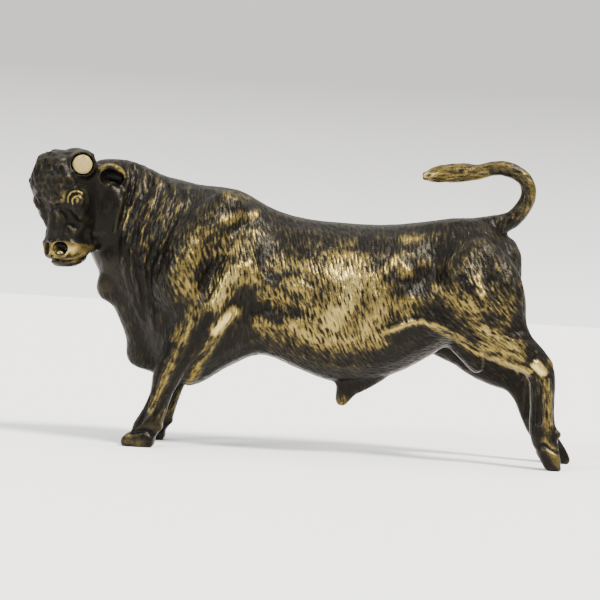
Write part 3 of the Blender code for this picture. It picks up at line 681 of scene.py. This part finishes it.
# side, back, out, up, and how far the axis points forward of sideways and up, in degrees
STUBS = {"left": (1, 0.5, 6.3, 67.4, 37, 0), "right": (-1, -0.1, 6.9, 65.6, 25, 20)}
for side, back, out, up, lean, lift in STUBS.values():
    horn = np.array(head_point(back, out * side, up))
    rubbed -= 0.9 * bell(np.linalg.norm(points - horn, axis=1), 2 * STUB_RADIUS)
for name, values in (("rubbed", rubbed), ("crest", fine), ("ridge", broad)):
    layer = bull.data.attributes.new(name, "FLOAT", "POINT")
    layer.data.foreach_set("value", values.astype(np.float32))
layer = bull.data.attributes.new("combed", "FLOAT_VECTOR", "POINT")
layer.data.foreach_set("vector", combed.astype(np.float32).ravel())


def stub_axis(side, lean, lift):
    """The way out of the head along a horn's axis."""
    lean, lift = math.radians(lean), math.radians(lift)
    level = LEFT * side * math.cos(lean) + AHEAD * math.sin(lean)
    return level * math.cos(lift) + Vector((0, 0, math.sin(lift)))


for name, (side, back, out, up, lean, lift) in STUBS.items():
    axis = stub_axis(side, lean, lift)
    drill = bmesh.new()
    bmesh.ops.create_cone(drill, cap_ends=True, segments=48, radius1=(STUB_RADIUS + SOCKET_GAP) * MM,
                          radius2=(STUB_RADIUS + SOCKET_GAP) * MM, depth=3 * STUB_DEEP * MM)
    place = (head_point(back, out * side, up) + HOME + axis * (0.5 * STUB_DEEP - STUB_GAP)) * MM
    drill.transform(Matrix.Translation(place) @ axis.to_track_quat("Z", "Y").to_matrix().to_4x4())
    mesh = bpy.data.meshes.new("drill_" + name)
    drill.to_mesh(mesh)
    drill.free()
    bit = bpy.data.objects.new("drill_" + name, mesh)
    bpy.context.scene.collection.objects.link(bit)
    bit.hide_render = True
    hole = bull.modifiers.new("socket_" + name, "BOOLEAN")
    hole.operation = "DIFFERENCE"
    hole.solver = "EXACT"
    hole.object = bit
    settle(bull)
    bpy.data.objects.remove(bit, do_unlink=True)
bull.data.shade_smooth()


def wires(owner):
    """Short hand for the nodes and links of a material, a world or a node group."""
    tree = getattr(owner, "node_tree", owner)

    def add(kind, values=(), **settings):
        node = tree.nodes.new(kind)
        for key, value in settings.items():
            setattr(node, key, value)
        feed(node, dict(values))
        return node

    def feed(node, values):
        """Give a node's sockets their values, or link them to another node's."""
        for key, value in values.items():
            if hasattr(value, "is_output"):
                tree.links.new(value, node.inputs[key])
            else:
                node.inputs[key].default_value = value
    return add, feed


def grain_group():
    """Uneven grain of a given size, which runs through the bronze and the bone alike."""
    group = bpy.data.node_groups.new("grain", "ShaderNodeTree")
    for name, kind in (("Place", "Vector"), ("Scale", "Float"), ("Detail", "Float")):
        group.interface.new_socket(name, in_out="INPUT", socket_type="NodeSocket" + kind)
    group.interface.new_socket("Grain", in_out="OUTPUT", socket_type="NodeSocketFloat")
    add = wires(group)[0]
    given = add("NodeGroupInput").outputs
    made = add("ShaderNodeTexNoise", {"Vector": given["Place"], "Scale": given["Scale"],
                                      "Detail": given["Detail"], "Roughness": 0.6})
    add("NodeGroupOutput", {"Grain": made.outputs["Fac"]})
    return group


GRAIN = grain_group()
bronze = bpy.data.materials.new("rubbed_bronze")
bronze.use_nodes = True
add, feed = wires(bronze)
where = add("ShaderNodeTexCoord").outputs["Object"]


def grain(scale, detail):
    return add("ShaderNodeGroup", {"Place": where, "Scale": scale, "Detail": detail},
               node_tree=GRAIN).outputs["Grain"]


def mathed(operation, a, b, clamp=False):
    return add("ShaderNodeMath", {0: a, 1: b}, operation=operation, use_clamp=clamp).outputs[0]


def summed(first, *rest):
    for value in rest:
        first = mathed("ADD", first, value)
    return first


def swing(value, size):
    """A noise turned round its middle and made as strong as the size says."""
    return mathed("MULTIPLY", mathed("SUBTRACT", value, 0.5), size)


def ramp(value, low, high, **settings):
    """0 at the low value, 1 at the high one."""
    return add("ShaderNodeMapRange", {"Value": value, "From Min": low, "From Max": high},
               **settings).outputs["Result"]


def mixed(share, a, b):
    return add("ShaderNodeMix", {0: share, 6: a, 7: b}, data_type="RGBA").outputs[2]


def carried(name, socket="Fac"):
    """What the skin carries at each point."""
    return add("ShaderNodeAttribute", attribute_name=name).outputs[socket]


rub, crest, ridge = carried("rubbed"), carried("crest"), carried("ridge")
patchy = grain(260, 4)          # patches of 4 mm
grainy = grain(1500, 3)         # pits under a millimetre
speck = grain(3000, 2)
cloudy = grain(70, 3)

# The strokes of the hide: a noise drawn out along the hair and packed across it
ALONG_HAIR, ACROSS_HAIR = 0.42, 1.9        # per millimetre
lie = add("ShaderNodeSeparateXYZ", {0: carried("combed", "Vector")}).outputs
stroke_place = add("ShaderNodeCombineXYZ", {0: mathed("MULTIPLY", lie[0], ALONG_HAIR),
                                            1: mathed("MULTIPLY", lie[1], ACROSS_HAIR)})
stroke = add("ShaderNodeTexNoise", {"Vector": stroke_place.outputs[0], "Scale": 1.0, "Detail": 1.5,
                                    "Roughness": 0.5, "Distortion": 0.25}).outputs["Fac"]
stroke = mathed("MULTIPLY", mathed("SUBTRACT", stroke, 0.5), lie[2])

# Where the patina is through to the metal: the rubbing, broken up by patches, pits, strokes and crests
broken = summed(swing(patchy, 1.6), swing(grainy, 0.8), swing(speck, 0.5),
                mathed("MULTIPLY", stroke, 3.4), mathed("MULTIPLY", crest, 0.36),
                mathed("MULTIPLY", ridge, 0.12))
strong = mathed("ADD", mathed("MULTIPLY", mathed("MAXIMUM", rub, 0.0), 0.62), 0.38)
level = mathed("ADD", mathed("MULTIPLY", rub, 0.92), mathed("MULTIPLY", broken, strong))
worn = ramp(level, 0.27, 1.08, interpolation_type="SMOOTHSTEP")
thin_worn = ramp(level, 0.05, 0.70)
bright = ramp(rub, 0.70, 1.50)

COOL_DARK, WARM_DARK = (0.0028, 0.0028, 0.0034, 1), (0.0075, 0.0066, 0.0042, 1)
THIN_BROWN = (0.040, 0.031, 0.014, 1)
# The dull gold and the clean gold are the two ends of the rubbed metal's tone. The tone follows the metal's
# grain, and it also paints shade in the grooves and highlight on the crests and stroke tops.
SHADED_DULL_GOLD, LIT_CLEAN_GOLD = (0.052, 0.038, 0.013, 1), (0.200, 0.144, 0.040, 1)
RUBBED_GOLD = (0.60, 0.46, 0.16, 1)
patina = mixed(thin_worn, mixed(cloudy, COOL_DARK, WARM_DARK), THIN_BROWN)
# The rubbed metal's tone: grain and specks, with painted highlight on the crests and raised strokes and
# painted shade in the grooves between them.
gold_grain_and_painted_shade = summed(swing(grainy, 1.0), mathed("MULTIPLY", crest, 0.24), mathed("MULTIPLY", stroke, 2.4))
gold_grain_and_painted_shade = mathed("ADD", mathed("ADD", gold_grain_and_painted_shade, swing(speck, 0.6)), 0.55, clamp=True)
metal = mixed(bright, mixed(gold_grain_and_painted_shade, SHADED_DULL_GOLD, LIT_CLEAN_GOLD), RUBBED_GOLD)
grit = mathed("ADD", grainy, mathed("MULTIPLY", grain(3200, 2), 0.5))
relief = add("ShaderNodeBump", {"Height": mathed("ADD", grit, mathed("MULTIPLY", stroke, 3.0)),
                                "Strength": 0.5, "Distance": 0.12 * MM}).outputs["Normal"]
metallic = add("ShaderNodeMapRange", {"Value": worn, "To Min": 0.30, "To Max": 0.92}).outputs["Result"]
feed(bronze.node_tree.nodes["Principled BSDF"], {
    "Base Color": mixed(worn, patina, metal),
    "Metallic": metallic,
    "Roughness": mathed("ADD", mathed("MULTIPLY", grainy, 0.24), 0.22),
    "Specular IOR Level": 0.16,
    "Specular Tint": (0.62, 0.58, 0.52, 1),
    "Normal": relief,
})
bull.data.materials.clear()
bull.data.materials.append(bronze)
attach(bull, "root")
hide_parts("bull_casting")

# The horn stubs. Each lost horn was a peg of pale bone set in a drilled socket; what is left is its
# snapped end, nearly flush with the poll, a little domed, chipped at the edge and flecked with dirt.
DARK_CREAM, PALE_CREAM = (0.205, 0.148, 0.040, 1), (0.300, 0.228, 0.066, 1)
DIRT = (0.07, 0.045, 0.022, 1)
bone = bpy.data.materials.new("pale_bone")
bone.use_nodes = True
add, feed = wires(bone)
where = add("ShaderNodeTexCoord").outputs["Object"]
fleck = ramp(grain(1500, 2), 0.66, 0.72)
pores = add("ShaderNodeBump", {"Height": grain(1100, 3), "Strength": 0.4,
                               "Distance": 0.2 * MM}).outputs["Normal"]
feed(bone.node_tree.nodes["Principled BSDF"], {
    "Base Color": mixed(fleck, mixed(grain(420, 3), DARK_CREAM, PALE_CREAM), DIRT),
    "Roughness": 0.55,
    "Normal": pores,
})
STUB_DOME, STUB_CHIP = 0.05, 0.32          # how low the middle lies, and how far the edge is worn down
for name, (side, back, out, up, lean, lift) in STUBS.items():
    axis = stub_axis(side, lean, lift)
    peg = bmesh.new()
    bmesh.ops.create_cone(peg, cap_ends=True, segments=40, radius1=STUB_RADIUS * MM,
                          radius2=STUB_RADIUS * MM, depth=STUB_DEEP * MM)
    top = [face for face in peg.faces if face.normal.z > 0.9]
    for inset, rise in ((0.22, 0.0), (0.75, -0.02), (0.8, 0.0)):
        bmesh.ops.inset_region(peg, faces=top, thickness=inset * MM, depth=rise * MM)
    bmesh.ops.poke(peg, faces=top)
    for v in peg.verts:
        if v.co.z > 0:
            reach = v.co.xy.length / (STUB_RADIUS * MM)
            jag = 0.10 * math.sin(5 * v.co.x / MM + 2) + 0.08 * math.sin(9 * v.co.y / MM)
            worn_edge = STUB_CHIP * max(reach - 0.86, 0) / 0.14
            v.co.z += (jag * (0.35 + 0.65 * reach) - worn_edge - STUB_DOME) * MM
    place = (head_point(back, out * side, up) + HOME - axis * 0.5 * STUB_DEEP) * MM
    peg.transform(Matrix.Translation(place) @ axis.to_track_quat("Z", "Y").to_matrix().to_4x4())
    bmesh.ops.recalc_face_normals(peg, faces=peg.faces)
    mesh = bpy.data.meshes.new("stub_" + name)
    peg.to_mesh(mesh)
    peg.free()
    mesh.materials.append(bone)
    mesh.shade_smooth()
    stub = bpy.data.objects.new("stub_" + name, mesh)
    bpy.context.scene.collection.objects.link(stub)
    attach(stub, "root")
    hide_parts("horn_stub_" + name)

# The table it stands on, pale and plain, with the light of a window to the right and above,
# and a camera level with the bull's flank.
TABLE_HALF = 6.0                   # metres from its middle to its edge, so that its end is never seen
ground = bmesh.new()
bmesh.ops.create_grid(ground, x_segments=1, y_segments=1, size=TABLE_HALF)
mesh = bpy.data.meshes.new("table")
ground.to_mesh(mesh)
ground.free()
table = bpy.data.objects.new("table", mesh)
bpy.context.scene.collection.objects.link(table)
white = bpy.data.materials.new("pale_table")
white.use_nodes = True
add, feed = wires(white)
feed(white.node_tree.nodes["Principled BSDF"], {"Base Color": (0.93, 0.915, 0.89, 1), "Roughness": 0.7})
table.data.materials.append(white)

# The room: bright low down on the far side, dim and cool on the viewer's side, white overhead
LOW_HAZE, FAR_WALL = (2.60, 2.56, 2.48, 1), (1.02, 1.00, 0.97, 1)
VIEWER_SIDE, CEILING = (0.26, 0.29, 0.38, 1), (2.4, 2.4, 2.4, 1)
room = bpy.data.worlds.new("room")
bpy.context.scene.world = room
room.use_nodes = True
add, feed = wires(room)
way = add("ShaderNodeSeparateXYZ", {0: add("ShaderNodeTexCoord").outputs["Generated"]}).outputs
wall = mixed(ramp(way[2], 0.0, 0.12), LOW_HAZE, FAR_WALL)
wall = mixed(ramp(way[1], -0.30, 0.35), VIEWER_SIDE, wall)
wall = mixed(ramp(way[2], 0.50, 0.85), wall, CEILING)
feed(room.node_tree.nodes["Background"], {"Color": wall})


def sun(name, come_from, softness, strength, colour):
    """Even light over the whole table from one side of the sky."""
    light = bpy.data.lights.new(name, "SUN")
    light.energy = strength
    light.angle = math.radians(softness)
    light.color = colour
    made = bpy.data.objects.new(name, light)
    made.rotation_mode = "QUATERNION"
    made.rotation_quaternion = Vector(come_from).to_track_quat("Z", "Y")
    bpy.context.scene.collection.objects.link(made)


sun("window", (0.60, -0.50, 0.90), 16, 8.4, (1.0, 0.96, 0.89))
sun("sky", (-0.60, -0.70, 0.42), 14, 3.0, (0.84, 0.91, 1.0))

camera = bpy.data.objects.new("camera", bpy.data.cameras.new("camera"))
bpy.context.scene.collection.objects.link(camera)
bpy.context.scene.camera = camera
VIEW_FROM, VIEW_HIGH, VIEW_ACROSS = 0.45, 0.0378, -0.0018      # distance, height, sideways
VIEW_ROLL = math.radians(3.357)                                # tilt of the frame
VIEW_HALF = 0.075                                              # half the frame's width at the bull
camera.data.lens_unit = "FOV"
camera.data.angle = 2 * math.atan(VIEW_HALF / VIEW_FROM)
camera.data.clip_start = 0.01
camera.location = (VIEW_ACROSS, -VIEW_FROM, VIEW_HIGH)
camera.rotation_mode = "QUATERNION"
level_look = Vector((0, 1, 0)).to_track_quat("-Z", "Y").to_matrix()
camera.rotation_quaternion = (level_look @ Matrix.Rotation(VIEW_ROLL, 3, "Z")).to_quaternion()
